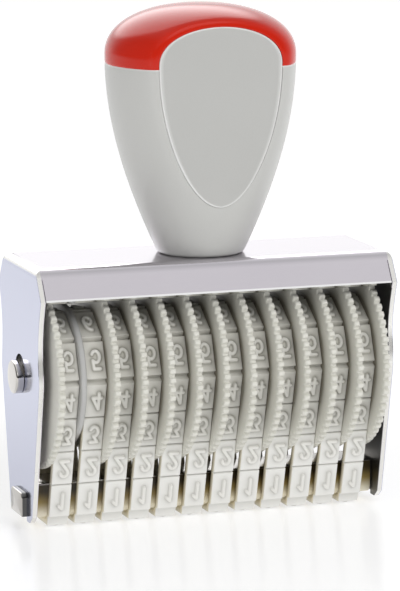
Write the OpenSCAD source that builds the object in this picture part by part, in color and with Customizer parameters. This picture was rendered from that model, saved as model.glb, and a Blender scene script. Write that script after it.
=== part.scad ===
// Hand number stamp: twelve rubber number bands in a folded sheet frame under a tulip handle.
// Millimetres, +Z up, the row of bands along X, the front toward -Y, z = 0 on the printing plane.

/* [Row of wheels and bands] */
// distance from one band to the next
band_pitch = 5; // [4:0.1:7]
// width of a rubber band
band_width = 3.7; // [2.5:0.05:5]
// play between a band and the rims on both sides of it
side_play = 0.06; // [0.02:0.01:0.1]
// number blocks on one band
pad_count = 14; // [12:1:16]
// how far the blocks are run forward from the middle of the printing face
band_phase = 0.8; // [-1.5:0.1:1.5]
// gap between two blocks on a straight run
pad_gap = 0.3; // [0.1:0.05:0.6]
// thickness of the web that carries the blocks
web_thick = 0.8; // [0.6:0.05:1.6]
// height of a block above the web
pad_height = 0.55; // [0.3:0.05:1.6]
// share by which the face of a block is stretched where the band goes round the drum
pad_stretch = 0.07; // [0:0.01:0.12]
// height of the raised type on a block
type_height = 0.45; // [0.2:0.05:0.8]
// share of the block's length that the type takes
type_length = 0.62; // [0.4:0.01:0.8]
// share of the block's width that the type takes
type_width = 0.66; // [0.4:0.01:0.8]

/* [Number wheel] */
// height of the wheel axis above the printing plane
axle_height = 26.75; // [22:0.25:34]
// radius of the drum inside the band
drum_radius = 10; // [7:0.05:10.5]
// running clearance between drum and band
drum_play = 0.06; // [0.02:0.01:0.1]
// tip radius of the toothed rim
rim_radius = 16.5; // [14:0.1:17.5]
// play between two neighbouring wheels
wheel_play = 0.08; // [0.04:0.01:0.1]
// teeth on the rim
tooth_count = 64; // [40:2:76]
// depth of a tooth
tooth_depth = 0.7; // [0.3:0.05:1]
// outer radius of the hub ring
hub_radius = 4.7; // [4:0.1:5.5]
// inner radius of the drum's outer wall
wall_radius = 8; // [6.5:0.1:8.6]
// depth of the moulded recess between hub and wall
recess_depth = 2.2; // [0.5:0.1:3]

/* [Axle] */
// radius of the axle
axle_radius = 2.95; // [2:0.05:3.3]
// running clearance between wheel and axle
axle_play = 0.06; // [0.02:0.01:0.1]
// how far the axle stands out past a side plate
axle_reach = 1.5; // [1:0.1:4]
// depth of the groove that sits in the side plate
groove_depth = 0.5; // [0.3:0.05:0.8]
// edge round of the axle ends
axle_edge = 0.3; // [0.1:0.05:0.5]
// play between groove and side plate
groove_play = 0.06; // [0.02:0.01:0.1]
// wall of the loose rings at the ends of the row
ring_wall = 1.5; // [1:0.1:2]
// radius of the plain guide disc beside the turned first wheel
disc_radius = 12.6; // [11.5:0.1:14]
// edge round of the guide disc
disc_edge = 0.2; // [0.05:0.05:0.3]
// end play left beside a spacing ring or the guide disc
ring_play = 0.08; // [0.04:0.01:0.1]

/* [Folded frame] */
// thickness of the sheet
sheet = 0.95; // [0.6:0.05:1.2]
// free room between the outer rims and the side plates
end_room = 1.5; // [0.6:0.05:2.5]
// height of the top face above the rims of the wheels
frame_height = 4; // [3.5:0.1:12]
// depth of the flat top
top_depth = 19.6; // [14:0.2:24]
// depth over the lower edges of the sloping lips
lip_depth = 26.4; // [20:0.2:30]
// height of the lips' outer lower edge
lip_height = 41.95; // [39:0.05:43]
// outside radius of the folds
fold_radius = 1.6; // [1.1:0.1:2.5]
// width of the open seam at the corners
seam = 0.12; // [0.1:0.02:0.4]
// depth of a side plate at its waist under the lip
waist_depth = 22.4; // [18:0.2:26]
// height of the waist
waist_height = 33.5; // [31:0.25:37]
// hollowness of the flare between lip and waist
flare_power = 1.6; // [1:0.1:2.5]
// depth of a side plate at the axle
belly_depth = 23.4; // [20:0.2:27]
// depth of a side plate at its foot
foot_depth = 13; // [10:0.2:18]
// height of the foot above the printing plane
foot_height = 1.5; // [0.8:0.1:4]
// corner radius at the foot
foot_radius = 1.2; // [0.4:0.1:2]
// drop of the axle from the entry hole into its seat
seat_drop = 1; // [0.6:0.1:1.6]

/* [Printing bar] */
// depth of the bar
bar_depth = 7.9; // [5:0.1:9]
// height of the bar
bar_height = 6.25; // [4:0.05:8]
// radius of the lower edges that the bands run over
bar_edge = 1.35; // [0.5:0.05:1.6]
// play between bar and bands
bar_play = 0.05; // [0.02:0.01:0.1]
// depth of the tongue at each end
tongue_depth = 6.9; // [4:0.1:7.1]
// height of the tongue at each end
tongue_height = 4.3; // [3:0.1:6]
// height of the tongue's underside above the bar's
tongue_lift = 0.35; // [0:0.05:1]
// how far a tongue stands out past the side plate
tongue_reach = 0.9; // [0.4:0.1:2]
// end play between bar and side plates
bar_end_play = 0.1; // [0.05:0.01:0.3]
// play of a tongue in its notch
notch_play = 0.08; // [0.04:0.01:0.2]
// corner radius of notch and tongue
notch_radius = 1; // [0.4:0.1:1.5]

/* [Handle] */
// height of the handle
handle_height = 44.25; // [36:0.25:54]
// how far the handle stands to the right of the frame's middle
handle_shift = 0.5; // [-2:0.1:2]
// radius of the neck on the frame
neck_radius = 7.6; // [6:0.1:9]
// radius at the widest place
belly_radius = 16.9; // [14:0.1:22]
// height of the widest place above the frame
belly_level = 35.2; // [28:0.1:40]
// height of the joint between body and cap above the frame
split_level = 33.75; // [26:0.25:38]
// fullness of the flank under the widest place
flank_power = 0.94; // [0.7:0.01:1.1]
// fullness of the dome
dome_power = 2.2; // [1.8:0.05:2.8]
// distance of the flat faces from the handle's axis
face_offset = 11.4; // [10:0.1:14]
// share of the flat face's width that the panel takes
panel_share = 0.9; // [0.7:0.01:0.94]
// border over the panel
panel_top_border = 1.4; // [0.8:0.1:2.5]
// border under the panel
panel_foot_border = 0.7; // [0.5:0.1:2]
// thickness of a panel
panel_thick = 1; // [0.6:0.1:1.5]
// depth of the panel's face under the flat face
panel_sink = 0.12; // [0.05:0.01:0.4]
// gap around a panel
panel_gap = 0.1; // [0.05:0.01:0.3]
// radius of the hollow in body and cap
hollow_radius = 7.2; // [5:0.1:8]
// floor level of the hollow above the frame
hollow_floor = 17; // [14:0.5:24]
// radius of the cap's plug
plug_radius = 8.6; // [7.5:0.1:9.5]
// length of the cap's plug
plug_length = 3; // [1.5:0.1:5]
// play between plug and socket
plug_play = 0.04; // [0.02:0.01:0.1]
// edge break at the joint of body and cap
split_edge = 0.25; // [0.1:0.05:0.5]

/* [Handle screw] */
// radius of the screw shank
screw_radius = 1.5; // [1.2:0.05:2]
// length of the shank above the frame
screw_length = 12; // [8:0.5:15]
// radius of the screw head
head_radius = 2.9; // [2.2:0.1:3.5]
// height of the screw head
head_height = 1.7; // [1.2:0.1:2.2]
// play around the shank
screw_play = 0.06; // [0.02:0.01:0.1]
// width of the driver slot
slot_width = 0.8; // [0.5:0.05:1]
// depth of the driver slot
slot_depth = 0.8; // [0.4:0.05:1]

/* [Hidden] */
$fn = 96;
eps = 0.01;
// the band loop: inside line of the web round the drum and the two lower edges of the bar
loop_radius = drum_radius + drum_play;
edge_radius = bar_edge + bar_play;
edge_offset = bar_depth / 2 - bar_edge;
bar_bottom = type_height + pad_height + web_thick + bar_play;
edge_height = bar_bottom + bar_edge;
drop = axle_height - edge_height;
centre_span = sqrt(drop * drop + edge_offset * edge_offset);
run_angle = asin((loop_radius - edge_radius) / centre_span) - atan(edge_offset / drop);
run_length = sqrt(pow(centre_span, 2) - pow(loop_radius - edge_radius, 2));
// lengths of the inside line, along which the blocks are spaced
foot_run = edge_offset;
edge_arc = edge_radius * (90 - run_angle) * PI / 180;
drum_arc = loop_radius * (90 + run_angle) * PI / 180;
half_loop = foot_run + edge_arc + run_length + drum_arc;
pad_step = 2 * half_loop / pad_count;
pad_length = pad_step - pad_gap;
// the row
band_count = 12;
row_half = (band_count - 1) * band_pitch / 2;
drum_width = band_width + 2 * side_play;
drum_room = band_pitch - drum_width;
rim_thick = drum_room - wheel_play;
rim_outer = row_half + drum_width / 2 + rim_thick;
plate_inner = rim_outer + end_room;
plate_outer = plate_inner + sheet;
top_level = axle_height + rim_radius + frame_height;
// slope of the lips, and the inner corner of their square-cut lower edge
lip_slope = atan2(top_level - lip_height, (lip_depth - top_depth) / 2);
lip_inner = [lip_depth / 2 - sheet * sin(lip_slope), lip_height - sheet * cos(lip_slope)];
// axle, handle
groove_radius = axle_radius - groove_depth;
egg_steps = 36;
dome_height = handle_height - belly_level;

function band_x(i) = -row_half + i * band_pitch;

// point and outward direction on the loop at arc length s, for the half with positive depth
function half_point(s) =
    s < foot_run ? [[s, edge_height - edge_radius], -90]
    : s < foot_run + edge_arc
        ? let (a = -90 + (s - foot_run) / edge_arc * (90 - run_angle))
          [[edge_offset + edge_radius * cos(a), edge_height + edge_radius * sin(a)], a]
    : s < foot_run + edge_arc + run_length
        ? let (t = s - foot_run - edge_arc)
          [[edge_offset + edge_radius * cos(run_angle) + t * sin(run_angle),
            edge_height - edge_radius * sin(run_angle) + t * cos(run_angle)], -run_angle]
    : let (a = -run_angle + (s - foot_run - edge_arc - run_length) / drum_arc * (90 + run_angle))
      [[loop_radius * cos(a), axle_height + loop_radius * sin(a)], a];

// radius of the handle at height h above the frame
function egg_radius(h) =
    h < belly_level
        ? neck_radius + (belly_radius - neck_radius) * sin(90 * pow(h / belly_level, flank_power))
        : let (t = (h - belly_level) / dome_height)
          belly_radius * pow(max(0, 1 - pow(t, dome_power)), 1 / dome_power);
function egg_height(r) =
    belly_level + dome_height * pow(1 - pow(r / belly_radius, dome_power), 1 / dome_power);
function face_foot() =
    let (rise = asin((face_offset - neck_radius) / (belly_radius - neck_radius)) / 90)
    belly_level * pow(rise, 1 / flank_power);
function face_half(h) = sqrt(max(0, pow(egg_radius(h), 2) - pow(face_offset, 2)));

// stand a drawing of depth and height upright and give it a length along X from x
module along_x(x, length) {
    translate([x, 0, 0])
        rotate([90, 0, 90])
            linear_extrude(length)
                children();
}

// the solid inside a closed loop that lies a given distance outside the web's inside line
module loop_area(out) {
    r = loop_radius + out;
    e = edge_radius + out;
    translate([0, axle_height])
        circle(r);
    for (side = [-1, 1])
        translate([side * edge_offset, edge_height])
            circle(e, $fn = 48);
    polygon([
        [-edge_offset, edge_height - e],
        [edge_offset, edge_height - e],
        [edge_offset + e * cos(run_angle), edge_height - e * sin(run_angle)],
        [r * cos(run_angle), axle_height - r * sin(run_angle)],
        [-r * cos(run_angle), axle_height - r * sin(run_angle)],
        [-edge_offset - e * cos(run_angle), edge_height - e * sin(run_angle)]
    ]);
}

// blocks set round the loop, each flat and square to the loop at its middle
module blocks(length, low, high) {
    for (k = [0 : pad_count - 1]) {
        s = k * pad_step + band_phase;
        behind = s > half_loop || s < 0;
        folded = s > half_loop ? 2 * half_loop - s : abs(s);
        face = length * (folded > half_loop - drum_arc ? 1 + pad_stretch : 1);
        q = half_point(folded);
        mirror([behind ? 0 : 1, 0])
            translate(q[0])
                rotate(q[1])
                    polygon([[low, -length / 2], [high, -face / 2], [high, face / 2], [low, length / 2]]);
    }
}

module number_band(i) {
    face = web_thick + pad_height;
    color([0.84, 0.83, 0.8]) {
        along_x(band_x(i) - band_width / 2, band_width)
            difference() {
                union() {
                    loop_area(web_thick);
                    blocks(pad_length, web_thick / 2, face);
                }
                loop_area(0);
            }
        along_x(band_x(i) - band_width * type_width / 2, band_width * type_width)
            blocks(pad_length * type_length, face - eps, face + type_height);
    }
}

// outline of the toothed rim
module toothed_outline() {
    step = 360 / tooth_count;
    polygon([for (k = [0 : tooth_count - 1], c = [[0.12, 0], [0.3, 1], [0.7, 1], [0.88, 0]])
        let (a = (k + c[0]) * step, r = rim_radius - tooth_depth * (1 - c[1]))
        [r * cos(a), r * sin(a)]]);
}

// a wheel about the X axis, drum centred on x = 0, toothed rim on the positive side
module wheel_shape() {
    difference() {
        union() {
            along_x(-drum_width / 2, drum_width)
                circle(drum_radius);
            along_x(drum_width / 2 - eps, rim_thick + eps)
                toothed_outline();
        }
        along_x(-drum_width / 2 - 1, drum_width + rim_thick + 2)
            circle(axle_radius + axle_play, $fn = 48);
        along_x(-drum_width / 2 - 1, recess_depth + 1)
            difference() {
                circle(wall_radius);
                circle(hub_radius, $fn = 64);
            }
    }
}

module number_wheel(i) {
    color([0.8, 0.8, 0.78])
        translate([band_x(i), 0, axle_height])
            mirror([i == 0 ? 1 : 0, 0, 0])
                wheel_shape();
}

// axle with a round edge at both ends and a groove where each side plate sits
module wheel_axle() {
    tip = plate_outer + axle_reach;
    wide = plate_outer + groove_play;
    narrow = plate_inner - groove_play;
    half = [
        [axle_radius, narrow],
        [groove_radius, narrow],
        [groove_radius, wide],
        [axle_radius, wide],
        [axle_radius, tip - axle_edge],
        [axle_radius - axle_edge * 0.3, tip - axle_edge * 0.3],
        [axle_radius - axle_edge, tip],
        [0, tip]
    ];
    color([0.85, 0.84, 0.83])
        translate([0, 0, axle_height])
            rotate([0, 90, 0])
                rotate_extrude($fn = 64)
                    polygon(concat(
                        [for (k = [len(half) - 1 : -1 : 0]) [half[k][0], -half[k][1]]],
                        half
                    ));
}

// loose rings between the outer rims and the side plates
module axle_spacers() {
    thick = end_room - ring_play;
    middle = plate_inner - end_room / 2;
    color([0.72, 0.73, 0.75])
        translate([0, 0, axle_height])
            for (x = [-middle, middle])
                along_x(x - thick / 2, thick)
                    difference() {
                        circle(axle_radius + axle_play + ring_wall, $fn = 48);
                        circle(axle_radius + axle_play, $fn = 48);
                    }
}

// plain disc that keeps the first two bands apart, where the turned wheel leaves no rim
module guide_disc() {
    half = (drum_room - ring_play) / 2;
    bore = axle_radius + axle_play;
    soft = disc_edge * 0.3;
    color([0.8, 0.8, 0.78])
        translate([band_x(0) + band_pitch / 2, 0, axle_height])
            rotate([0, 90, 0])
                rotate_extrude()
                    polygon([
                        [bore, -half],
                        [disc_radius - disc_edge, -half],
                        [disc_radius - soft, soft - half],
                        [disc_radius, disc_edge - half],
                        [disc_radius, half - disc_edge],
                        [disc_radius - soft, half - soft],
                        [disc_radius - disc_edge, half],
                        [bore, half]
                    ]);
}

module printing_bar() {
    body = plate_inner - bar_end_play;
    tip = plate_outer + tongue_reach;
    color([0.3, 0.27, 0.24]) {
        along_x(-body, 2 * body) {
            for (side = [-1, 1])
                translate([side * edge_offset, edge_height])
                    circle(bar_edge, $fn = 48);
            translate([-edge_offset, bar_bottom])
                square([2 * edge_offset, bar_height]);
            translate([-bar_depth / 2, edge_height])
                square([bar_depth, bar_height - bar_edge]);
        }
        along_x(-tip, 2 * tip)
            tongue_outline(0);
    }
}

// the tongue's end view, or the notch around it
module tongue_outline(play) {
    half = tongue_depth / 2 + play;
    foot = bar_bottom + tongue_lift;
    top = foot + tongue_height + play;
    r = notch_radius + play;
    for (side = [-1, 1])
        translate([side * (half - r), top - r])
            circle(r, $fn = 32);
    translate([-half, foot])
        square([2 * half, tongue_height + play - r]);
    translate([-half + r, foot])
        square([2 * (half - r), tongue_height + play]);
}

// section of top and lips with rounded folds, drawn a given distance inside the outer face
module roof_outline(inset) {
    r = fold_radius - inset;
    half = top_depth / 2 - inset * tan(lip_slope / 2);
    top = top_level - inset;
    cut = r * tan(lip_slope / 2);
    outer = inset > 0 ? [] : [[lip_depth / 2, lip_height]];
    side = concat(
        [lip_inner],
        outer,
        [[half + cut * cos(lip_slope), top - cut * sin(lip_slope)], [half - cut, top]]
    );
    for (end = [-1, 1])
        translate([end * (half - cut), top - r])
            circle(r, $fn = 48);
    polygon(concat(side, [for (k = [len(side) - 1 : -1 : 0]) [-side[k][0], side[k][1]]]));
}

// side plate under the lips: waist, belly at the axle and a tapered foot
module plate_outline() {
    flare_height = lip_height - waist_height;
    lip = lip_depth / 2;
    waist = waist_depth / 2;
    belly = belly_depth / 2;
    foot = foot_depth / 2;
    flare = [for (t = [0 : 0.125 : 1])
        [waist + (lip - waist) * pow(1 - t, flare_power), lip_height - flare_height * t]];
    belly_drop = waist_height - axle_height;
    swell = [for (t = [0.125 : 0.125 : 1])
        [waist + (belly - waist) * (1 - cos(180 * t)) / 2, waist_height - belly_drop * t]];
    edge = concat(flare, swell);
    difference() {
        polygon(concat(
            [[lip, lip_height + eps]],
            edge,
            [[foot + foot_radius * 0.2, foot_height + foot_radius], [foot - foot_radius, foot_height]],
            [[foot_radius - foot, foot_height], [-foot - foot_radius * 0.2, foot_height + foot_radius]],
            [for (k = [len(edge) - 1 : -1 : 0]) [-edge[k][0], edge[k][1]]],
            [[-lip, lip_height + eps]]
        ));
        translate([0, axle_height])
            circle(groove_radius + groove_play, $fn = 48);
        translate([-groove_radius - groove_play, axle_height])
            square([2 * (groove_radius + groove_play), seat_drop]);
        translate([0, axle_height + seat_drop])
            circle(axle_radius + groove_play, $fn = 48);
        tongue_outline(notch_play);
        translate([-tongue_depth / 2 - notch_play, foot_height - 1])
            square([tongue_depth + 2 * notch_play, bar_bottom + tongue_lift - foot_height + 1 + eps]);
    }
}

// one folded sheet: top, two sloping lips and two side plates
module frame() {
    round_top = top_level - fold_radius;
    color([0.82, 0.83, 0.86])
        difference() {
            union() {
                intersection() {
                    along_x(-plate_outer, 2 * plate_outer)
                        roof_outline(0);
                    rotate([90, 0, 0])
                        linear_extrude(lip_depth + 2, center = true) {
                            for (side = [-1, 1])
                                translate([side * (plate_outer - fold_radius), round_top])
                                    circle(fold_radius, $fn = 48);
                            translate([-plate_outer, 0])
                                square([2 * plate_outer, round_top]);
                            translate([fold_radius - plate_outer, 0])
                                square([2 * (plate_outer - fold_radius), top_level]);
                        }
                }
                for (x = [-plate_outer, plate_inner])
                    along_x(x, sheet)
                        plate_outline();
            }
            // the hollow under the roof
            along_x(-plate_inner, 2 * plate_inner)
                difference() {
                    union() {
                        roof_outline(sheet);
                        translate([-lip_inner[0], lip_inner[1] - 1])
                            square([2 * lip_inner[0], 1 + eps]);
                    }
                    translate([-lip_depth / 2, top_level - sheet])
                        square([lip_depth, sheet]);
                }
            // open seams between the lips and the side plates
            for (x = [-plate_inner, plate_inner - seam], side = [0, 1])
                mirror([0, side, 0])
                    translate([x, top_depth / 2 + fold_radius * 0.4, lip_inner[1] - 1])
                        cube([seam, lip_depth, round_top - lip_inner[1] + 1]);
            translate([handle_shift, 0, top_level - 2 * sheet])
                cylinder(r = screw_radius + screw_play, h = 3 * sheet, $fn = 48);
        }
}

// the whole handle: a turned shape with a flat face in front and behind
module egg() {
    lower = [for (k = [0 : egg_steps]) belly_level * k / egg_steps];
    upper = [for (k = [1 : egg_steps]) egg_height(belly_radius * cos(90 * k / egg_steps))];
    intersection() {
        translate([0, 0, top_level])
            rotate_extrude()
                polygon(concat(
                    [[0, 0]],
                    [for (h = lower) [egg_radius(h), h]],
                    [for (k = [1 : egg_steps]) [belly_radius * cos(90 * k / egg_steps), upper[k - 1]]]
                ));
        translate([-2 * belly_radius, -face_offset, 0])
            cube([4 * belly_radius, 2 * face_offset, 2 * top_level + 2 * handle_height]);
    }
}

// the panel's shield outline in width and height, grown by a gap
module panel_outline(gap) {
    low = face_foot();
    high = egg_height(face_offset);
    foot = low + panel_foot_border - gap;
    top = high - panel_top_border + gap;
    levels = [for (k = [0 : egg_steps]) (1 - cos(180 * k / egg_steps)) / 2];
    half = [for (t = levels) panel_share * face_half(low + (high - low) * t)];
    polygon(concat(
        [for (k = [1 : egg_steps - 1]) [half[k] + gap, foot + (top - foot) * levels[k]]],
        [[0, top]],
        [for (k = [egg_steps - 1 : -1 : 1]) [-half[k] - gap, foot + (top - foot) * levels[k]]],
        [[0, foot]]
    ));
}

// a panel, or the pocket for it, on the front face
module panel_block(gap, front, back) {
    translate([0, -back, top_level])
        rotate([90, 0, 0])
            linear_extrude(front - back)
                panel_outline(gap);
}

module pockets() {
    for (turn = [0, 180])
        rotate(turn)
            panel_block(panel_gap, face_offset + 1, face_offset - panel_sink - panel_thick);
}

module handle_body() {
    split = top_level + split_level;
    translate([handle_shift, 0, 0])
        color([0.73, 0.73, 0.72])
            difference() {
                egg();
                translate([0, 0, split])
                    cylinder(r = 2 * belly_radius, h = handle_height);
                pockets();
                translate([0, 0, top_level + hollow_floor])
                    cylinder(r = hollow_radius, h = handle_height);
                translate([0, 0, split - plug_length - plug_play])
                    cylinder(r = plug_radius + plug_play, h = handle_height);
                translate([0, 0, top_level - 1])
                    cylinder(r = screw_radius + screw_play, h = screw_length + 2, $fn = 48);
                // edge break under the cap
                translate([0, 0, split - split_edge])
                    rotate_extrude()
                        polygon([
                            [belly_radius - split_edge, split_edge + eps],
                            [belly_radius + 1, -1],
                            [belly_radius + 1, split_edge + eps]
                        ]);
            }
}

module handle_cap() {
    split = top_level + split_level;
    translate([handle_shift, 0, 0])
        color([0.72, 0.13, 0.1])
            difference() {
                union() {
                    difference() {
                        egg();
                        cylinder(r = 2 * belly_radius, h = split);
                        pockets();
                    }
                    translate([0, 0, split - plug_length])
                        cylinder(r = plug_radius, h = plug_length + 1);
                }
                translate([0, 0, split - plug_length - 1])
                    cylinder(r = hollow_radius, h = plug_length + dome_height);
            }
}

module front_panel() {
    color([0.74, 0.74, 0.73])
        translate([handle_shift, 0, 0])
            panel_block(0, face_offset - panel_sink, face_offset - panel_sink - panel_thick);
}

module rear_panel() {
    color([0.74, 0.74, 0.73])
        translate([handle_shift, 0, 0])
            rotate(180)
                panel_block(0, face_offset - panel_sink, face_offset - panel_sink - panel_thick);
}

// screw from under the top, with a slotted head
module handle_screw() {
    under = top_level - sheet;
    translate([handle_shift, 0, 0])
        color([0.7, 0.7, 0.72])
            difference() {
                union() {
                    translate([0, 0, under])
                        cylinder(r = screw_radius, h = sheet + screw_length, $fn = 48);
                    translate([0, 0, under - head_height])
                        cylinder(r = head_radius, h = head_height, $fn = 64);
                }
                translate([-head_radius - 1, -slot_width / 2, under - head_height - 1])
                    cube([2 * head_radius + 2, slot_width, slot_depth + 1]);
            }
}

frame();
wheel_axle();
axle_spacers();
guide_disc();
printing_bar();
handle_body();
handle_cap();
front_panel();
rear_panel();
handle_screw();
number_wheel(0);  // number_wheel_01
number_wheel(1);  // number_wheel_02
number_wheel(2);  // number_wheel_03
number_wheel(3);  // number_wheel_04
number_wheel(4);  // number_wheel_05
number_wheel(5);  // number_wheel_06
number_wheel(6);  // number_wheel_07
number_wheel(7);  // number_wheel_08
number_wheel(8);  // number_wheel_09
number_wheel(9);  // number_wheel_10
number_wheel(10);  // number_wheel_11
number_wheel(11);  // number_wheel_12
number_band(0);  // number_band_01
number_band(1);  // number_band_02
number_band(2);  // number_band_03
number_band(3);  // number_band_04
number_band(4);  // number_band_05
number_band(5);  // number_band_06
number_band(6);  // number_band_07
number_band(7);  // number_band_08
number_band(8);  // number_band_09
number_band(9);  // number_band_10
number_band(10);  // number_band_11
number_band(11);  // number_band_12
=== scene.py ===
import bmesh
import bpy
import numpy as np
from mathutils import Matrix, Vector


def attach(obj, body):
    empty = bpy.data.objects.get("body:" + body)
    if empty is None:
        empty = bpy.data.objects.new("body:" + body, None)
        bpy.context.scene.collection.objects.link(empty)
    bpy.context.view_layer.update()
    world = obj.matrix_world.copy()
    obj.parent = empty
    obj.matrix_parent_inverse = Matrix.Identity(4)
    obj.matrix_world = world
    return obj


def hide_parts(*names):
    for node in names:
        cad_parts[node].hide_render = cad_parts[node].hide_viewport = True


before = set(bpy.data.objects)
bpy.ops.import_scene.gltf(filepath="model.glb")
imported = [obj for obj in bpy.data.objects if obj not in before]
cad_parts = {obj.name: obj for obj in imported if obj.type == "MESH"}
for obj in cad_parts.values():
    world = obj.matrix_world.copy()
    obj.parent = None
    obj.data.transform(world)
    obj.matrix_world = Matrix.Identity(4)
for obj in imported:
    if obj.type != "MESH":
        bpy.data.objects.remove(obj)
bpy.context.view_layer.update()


# Folded frame
# One blank of bright nickelled sheet, folded to a flat top, two sloping lips and two side plates.
# The side plates carry the axle in keyhole seats and the printing bar in notches open at the foot.
class Tone:
    """A value in a material's nodes. + - * and abs() add Math nodes, and node() adds any other node."""

    def __init__(self, tree, socket=None):
        self.tree = tree
        self.socket = socket

    def node(self, kind, settings=None, sockets=None, output=0):
        """One output of a new node. Its settings are set first, then its sockets get their values or links."""
        made = self.tree.nodes.new(kind)
        for key, value in (settings or {}).items():
            setattr(made, key, value)
        for key, value in (sockets or {}).items():
            if isinstance(value, Tone):
                self.tree.links.new(value.socket, made.inputs[key])
            else:
                made.inputs[key].default_value = value
        return Tone(self.tree, made.outputs[output])

    def math(self, operation, first, second=0.0):
        return self.node("ShaderNodeMath", {"operation": operation}, {0: first, 1: second})

    def __add__(self, other):
        return self.math("ADD", self, other)

    def __radd__(self, other):
        return self.math("ADD", other, self)

    def __sub__(self, other):
        return self.math("SUBTRACT", self, other)

    def __rsub__(self, other):
        return self.math("SUBTRACT", other, self)

    def __mul__(self, other):
        return self.math("MULTIPLY", self, other)

    def __rmul__(self, other):
        return self.math("MULTIPLY", other, self)

    def __neg__(self):
        return self.math("MULTIPLY", self, -1.0)

    def __abs__(self):
        return self.math("ABSOLUTE", self)


millimetre = 0.001
MIX_FACTOR, MIX_A, MIX_B, MIX_COLOUR = 0, 6, 7, 2


def blend_colour(factor, first, second):
    """The first colour where the factor is 0 and the second where it is 1; both are linear RGB."""
    sockets = {MIX_FACTOR: factor}
    for key, colour in ((MIX_A, first), (MIX_B, second)):
        sockets[key] = colour if isinstance(colour, Tone) else (*colour, 1.0)
    return factor.node("ShaderNodeMix", {"data_type": "RGBA"}, sockets, MIX_COLOUR)


def grain(tone, place, size, detail, stretch=(1.0, 1.0, 1.0)):
    """Noise of a feature size in millimetres on Object coordinates, drawn out along an axis by its stretch."""
    squeeze = tuple(1.0 / axis for axis in stretch)
    moved = tone.node("ShaderNodeMapping", {}, {"Vector": place, "Scale": squeeze})
    pitch = 1.0 / (size * millimetre)
    return tone.node("ShaderNodeTexNoise", {}, {"Vector": moved, "Scale": pitch, "Detail": detail})


def new_finish(name):
    """An empty material: its tone for adding nodes, its Object coordinates and its shader."""
    material = bpy.data.materials.new(name)
    material.use_nodes = True
    tone = Tone(material.node_tree)
    place = tone.node("ShaderNodeTexCoord", output="Object")
    return material, tone, place, material.node_tree.nodes["Principled BSDF"]


def feed(shader, tone, colour, roughness, bump, strength, depth):
    """Links what varies over the surface: colour, roughness, and a bump of a depth in millimetres."""
    normal = tone.node("ShaderNodeBump", {},
                       {"Strength": strength, "Distance": depth * millimetre, "Height": bump})
    for socket, varied in (("Base Color", colour), ("Roughness", roughness), ("Normal", normal)):
        tone.tree.links.new(varied.socket, shader.inputs[socket])


def parted(tone, vector):
    """The three parts of a vector, each as a tone."""
    first = tone.node("ShaderNodeSeparateXYZ", {}, {0: vector})
    return [Tone(tone.tree, socket) for socket in first.socket.node.outputs]


def in_millimetres(tone, place):
    """The three Object coordinates, each as a tone in millimetres."""
    return parted(tone, tone.node("ShaderNodeVectorMath", {"operation": "SCALE"},
                                  {"Vector": place, "Scale": 1.0 / millimetre}))


def ramp(value, start, stop):
    """0 where the value is at its start, 1 where it is at its stop, with a smooth step between them."""
    return value.node("ShaderNodeMapRange", {"interpolation_type": "SMOOTHSTEP"},
                      {"Value": value, "From Min": start, "From Max": stop})


def bright_metal(name, colour, shade, rough, brushed, *zones):
    """Polished metal: cloudy buffing in the gloss, hair lines along an axis and a slightly darker tone in
    patches. Each zone, a function of the three Object coordinates in millimetres, is blended to a colour of its
    own, roughened, and made less metallic by its dulled share; the zones paint light and shade on the metal."""
    material, tone, place, shader = new_finish(name)
    cloud = grain(tone, place, 14.0, 2.0)
    hair = grain(tone, place, 0.25, 2.0, brushed)
    shader.inputs["Metallic"].default_value = 1.0
    tint = blend_colour(cloud * 0.6 + hair * 0.25, colour, shade)
    gloss = rough + cloud * 0.05 + hair * 0.05
    for zone, zone_colour, roughened, dulled in zones:
        share = zone(*in_millimetres(tone, place))
        tint = blend_colour(share, tint, zone_colour)
        gloss = gloss + share * roughened
        if dulled:
            tone.tree.links.new((1.0 - share * dulled).socket, shader.inputs["Metallic"])
    feed(shader, tone, tint, gloss, hair, 0.05, 0.01)
    return material


def seat(name, mesh, material, body, slot, *nodes):
    """Puts a finished mesh into the scene as a smooth piece riding on a body and hides the CAD nodes it stands for.
    Its slot is not used.
    """
    mesh.shade_smooth()
    mesh.materials.clear()
    mesh.materials.append(material)
    piece = bpy.data.objects.new(name, mesh)
    bpy.context.scene.collection.objects.link(piece)
    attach(piece, body)
    if nodes:
        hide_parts(*nodes)
    return piece


plate_inner, plate_outer = 32.01, 32.96
top_level, top_half, lip_half, lip_low = 47.25, 9.8, 13.2, 41.95
sheet_edge_round, sheet_edge_steps, sharp_angle, flat_angle = 0.14, 2, 0.6, 0.005


def painted_inside_shade(x, y, z):
    """Painted shade: 1 on the inner faces, painted near black, from the smallest distance under the outer planes of
    side plates, top and lips. The left plate is left out: its inner face stays bright and throws light on the first
    wheel."""
    fall, out = top_level - lip_low, lip_half - top_half
    slant = np.hypot(fall, out)
    under_lip = (top_half - abs(y)) * (fall / slant) + (top_level - z) * (out / slant)
    under = x.math("MINIMUM", plate_outer - abs(x), x.math("MINIMUM", top_level - z, under_lip))
    return ramp(under, 0.80, 0.92) * ramp(x, -plate_inner, 0.3 - plate_inner)


def painted_plate_reflection(x, y, z):
    """Painted reflection: the side plates are tinted colder and darker than the lips and the top, for what they
    mirror.
    """
    return ramp(abs(x), plate_inner, plate_outer) * 0.7


def painted_edge_highlight(x, y, z):
    """Painted highlight: 1 along the cut edges of the side plates, between their two faces, painted pale."""
    past_inner = ramp(abs(x), plate_inner + 0.04, plate_inner + 0.16)
    return past_inner * (1.0 - ramp(abs(x), plate_outer - 0.16, plate_outer - 0.04))


def painted_fold_shade(x, y, z):
    """Painted shade: the lips are painted darker just below their fold from the top."""
    on_lip = ramp(abs(y), top_half - 0.1, top_half + 0.3)
    return on_lip * ramp(z, top_level - 1.6, top_level - 0.6) * 0.45


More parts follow.
